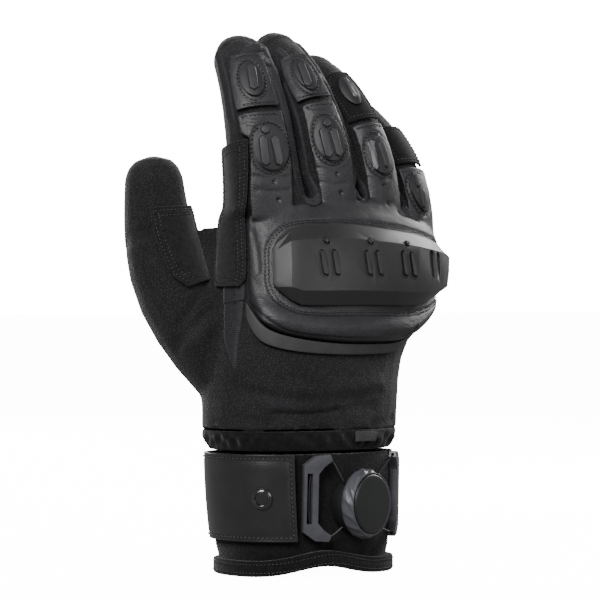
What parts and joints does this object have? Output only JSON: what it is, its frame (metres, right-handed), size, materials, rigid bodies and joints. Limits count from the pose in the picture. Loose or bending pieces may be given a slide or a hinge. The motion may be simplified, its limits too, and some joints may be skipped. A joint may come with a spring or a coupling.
{
  "type": "motorcycle glove",
  "caption": "Right-hand motorcycle glove holding the shape of a half-open hand, with a hard knuckle guard, padded leather back and a dial-tightened wrist strap.",
  "frame": {"origin": "middle of the wrist mouth, at the lowest edge of the hem", "axes": "+Z along the hand to the fingertips, -Y out of the back of the hand, +X towards the little finger"},
  "size_m": [0.1453, 0.0906, 0.2403],
  "materials": {
    "softshell": "matt woven stretch softshell",
    "leather": "fine-grained, soft sheen",
    "suede": "napped, matt",
    "rib": "ribbed stretch knit",
    "guard": "fine satin texture",
    "rubber": "matt",
    "satin": "satin gunmetal grey",
    "cap": "fine satin",
    "gloss": "glossy black",
    "lace": "stranded wire",
    "woven": "coarse woven tape"
  },
  "bodies": {
    "glove": {"wrist_sleeve": "softshell", "hem_binding": "softshell", "gather_band": "softshell", "hand_shell": "softshell", "thumb_stall": "softshell", "index_stall": "softshell", "middle_stall": "softshell", "ring_stall": "softshell", "little_stall": "softshell", "ring_tip_panel": "softshell", "little_tip_panel": "softshell", "back_leather": "leather", "index_leather": "leather", "middle_leather": "leather", "ring_leather": "leather", "little_leather": "leather", "index_tip_leather": "leather", "middle_tip_leather": "leather", "wrist_strap": "leather", "index_side_patch": "suede", "thumb_patch": "suede", "ribbed_strip": "rib", "knuckle_guard": "guard", "index_insert": "guard", "middle_insert": "guard", "ring_insert": "guard", "little_insert": "guard", "index_tip_insert": "guard", "middle_tip_insert": "guard", "ring_tip_insert": "guard", "ledge_flange": "rubber", "left_bracket": "satin", "right_bracket": "satin", "dial_base": "cap", "strap_rivet": "gloss", "left_lace": "lace", "right_lace": "lace", "bar_tack": "woven"},
    "spool_shaft": {"dial_spindle": "satin"},
    "dial": {"dial_knob": "satin", "dial_cap": "cap"}
  },
  "joints": [
    {"name": "dial_pull", "type": "slide", "parent": "glove", "child": "spool_shaft", "axis": [0.2756, -0.9613, 0], "range_m": [0, 0.0025]},
    {"name": "dial_turn", "type": "hinge", "parent": "spool_shaft", "child": "dial", "pos_m": [0.00672, -0.03145, 0.0312], "axis": [0.2756, -0.9613, 0], "continuous": true}
  ]
}
